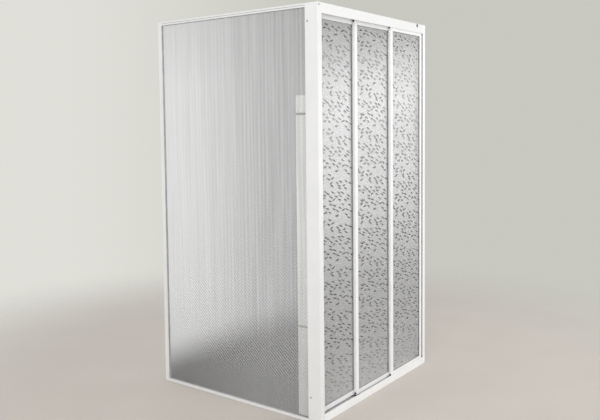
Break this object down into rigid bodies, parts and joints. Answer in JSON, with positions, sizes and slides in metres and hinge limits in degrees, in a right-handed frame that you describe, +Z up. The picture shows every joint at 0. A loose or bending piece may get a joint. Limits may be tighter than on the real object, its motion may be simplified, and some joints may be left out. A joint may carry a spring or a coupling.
{
  "type": "shower screen",
  "caption": "corner shower screen: fixed obscure pane on one side, framed sliding glass panels on the other, white aluminium corner post, header and sill",
  "frame": {"origin": "middle of the bounding box, on the floor", "axes": "+Z up; the sliding panels face -Y and slide along X; the fixed pane faces -X; the walls are at the +X and +Y ends"},
  "size_m": [1.0112, 0.9712, 1.83],
  "materials": {
    "white_frame": "white powder coat on extruded aluminium, satin",
    "fixed_glass": "obscure glass with a fine regular lattice of small cells",
    "door_glass": "obscure glass with scattered short dashes pressed in",
    "gasket_rubber": "black glazing rubber",
    "black_plastic": "black moulded nylon",
    "white_plastic": "white moulded or sheet plastic",
    "roller_nylon": "natural nylon",
    "fastener_steel": "zinc-plated steel"
  },
  "bodies": {
    "frame": {"corner_post": "white_frame", "header_rail": "white_frame", "sill_track": "white_frame", "door_wall_jamb": "white_frame", "post_door_seal": "gasket_rubber", "jamb_door_seal": "gasket_rubber", "header_left_block": "white_plastic", "header_right_block": "white_plastic", "header_left_screw": "fastener_steel", "header_right_screw": "fastener_steel", "fixed_top_rail": "white_frame", "fixed_bottom_rail": "white_frame", "fixed_wall_jamb": "white_frame", "fixed_glass": "fixed_glass", "fixed_gasket": "gasket_rubber", "setting_block_post": "gasket_rubber", "setting_block_wall": "gasket_rubber", "post_lower_screw": "fastener_steel", "post_upper_screw": "fastener_steel", "splash_strip": "white_plastic", "splash_lower_clip": "black_plastic", "splash_upper_clip": "black_plastic", "splash_lower_screw": "fastener_steel", "splash_upper_screw": "fastener_steel"},
    "door_1": {"door_1_left_stile": "white_frame", "door_1_right_stile": "white_frame", "door_1_top_rail": "white_frame", "door_1_bottom_rail": "white_frame", "door_1_glass": "door_glass", "door_1_gasket": "gasket_rubber", "door_1_left_hanger": "fastener_steel", "door_1_right_hanger": "fastener_steel", "door_1_left_guide": "black_plastic", "door_1_right_guide": "black_plastic"},
    "door_1_left_roller": {"door_1_left_wheel": "roller_nylon"},
    "door_1_right_roller": {"door_1_right_wheel": "roller_nylon"},
    "door_2": {"door_2_left_stile": "white_frame", "door_2_right_stile": "white_frame", "door_2_top_rail": "white_frame", "door_2_bottom_rail": "white_frame", "door_2_glass": "door_glass", "door_2_gasket": "gasket_rubber", "door_2_left_hanger": "fastener_steel", "door_2_right_hanger": "fastener_steel", "door_2_left_guide": "black_plastic", "door_2_right_guide": "black_plastic"},
    "door_2_left_roller": {"door_2_left_wheel": "roller_nylon"},
    "door_2_right_roller": {"door_2_right_wheel": "roller_nylon"},
    "door_3": {"door_3_left_stile": "white_frame", "door_3_right_stile": "white_frame", "door_3_top_rail": "white_frame", "door_3_bottom_rail": "white_frame", "door_3_glass": "door_glass", "door_3_gasket": "gasket_rubber", "door_3_left_hanger": "fastener_steel", "door_3_right_hanger": "fastener_steel", "door_3_left_guide": "black_plastic", "door_3_right_guide": "black_plastic"},
    "door_3_left_roller": {"door_3_left_wheel": "roller_nylon"},
    "door_3_right_roller": {"door_3_right_wheel": "roller_nylon"}
  },
  "joints": [
    {"name": "door_1_slide", "type": "slide", "parent": "frame", "child": "door_1", "axis": [1, 0, 0], "range_m": [0, 0.63]},
    {"name": "door_1_left_roller_spin", "type": "hinge", "parent": "door_1", "child": "door_1_left_roller", "pos_m": [-0.4144, -0.4457, 1.815], "axis": [0, 1, 0], "range_deg": [0, 3620]},
    {"name": "door_1_right_roller_spin", "type": "hinge", "parent": "door_1", "child": "door_1_right_roller", "pos_m": [-0.2374, -0.4457, 1.815], "axis": [0, 1, 0], "range_deg": [0, 3620]},
    {"name": "door_2_slide", "type": "slide", "parent": "frame", "child": "door_2", "axis": [1, 0, 0], "range_m": [-0.315, 0.315]},
    {"name": "door_2_left_roller_spin", "type": "hinge", "parent": "door_2", "child": "door_2_left_roller", "pos_m": [-0.0994, -0.4587, 1.815], "axis": [0, 1, 0], "range_deg": [-1815, 1815]},
    {"name": "door_2_right_roller_spin", "type": "hinge", "parent": "door_2", "child": "door_2_right_roller", "pos_m": [0.0776, -0.4587, 1.815], "axis": [0, 1, 0], "range_deg": [-1815, 1815]},
    {"name": "door_3_slide", "type": "slide", "parent": "frame", "child": "door_3", "axis": [1, 0, 0], "range_m": [-0.63, 0]},
    {"name": "door_3_left_roller_spin", "type": "hinge", "parent": "door_3", "child": "door_3_left_roller", "pos_m": [0.2156, -0.4717, 1.815], "axis": [0, 1, 0], "range_deg": [-3620, 0]},
    {"name": "door_3_right_roller_spin", "type": "hinge", "parent": "door_3", "child": "door_3_right_roller", "pos_m": [0.3926, -0.4717, 1.815], "axis": [0, 1, 0], "range_deg": [-3620, 0]}
  ],
  "couplings": [
    {"joint": "door_1_left_roller_spin", "follows": "door_1_slide", "rad_per_m": 100},
    {"joint": "door_1_right_roller_spin", "follows": "door_1_slide", "rad_per_m": 100},
    {"joint": "door_2_left_roller_spin", "follows": "door_2_slide", "rad_per_m": 100},
    {"joint": "door_2_right_roller_spin", "follows": "door_2_slide", "rad_per_m": 100},
    {"joint": "door_3_left_roller_spin", "follows": "door_3_slide", "rad_per_m": 100},
    {"joint": "door_3_right_roller_spin", "follows": "door_3_slide", "rad_per_m": 100}
  ]
}
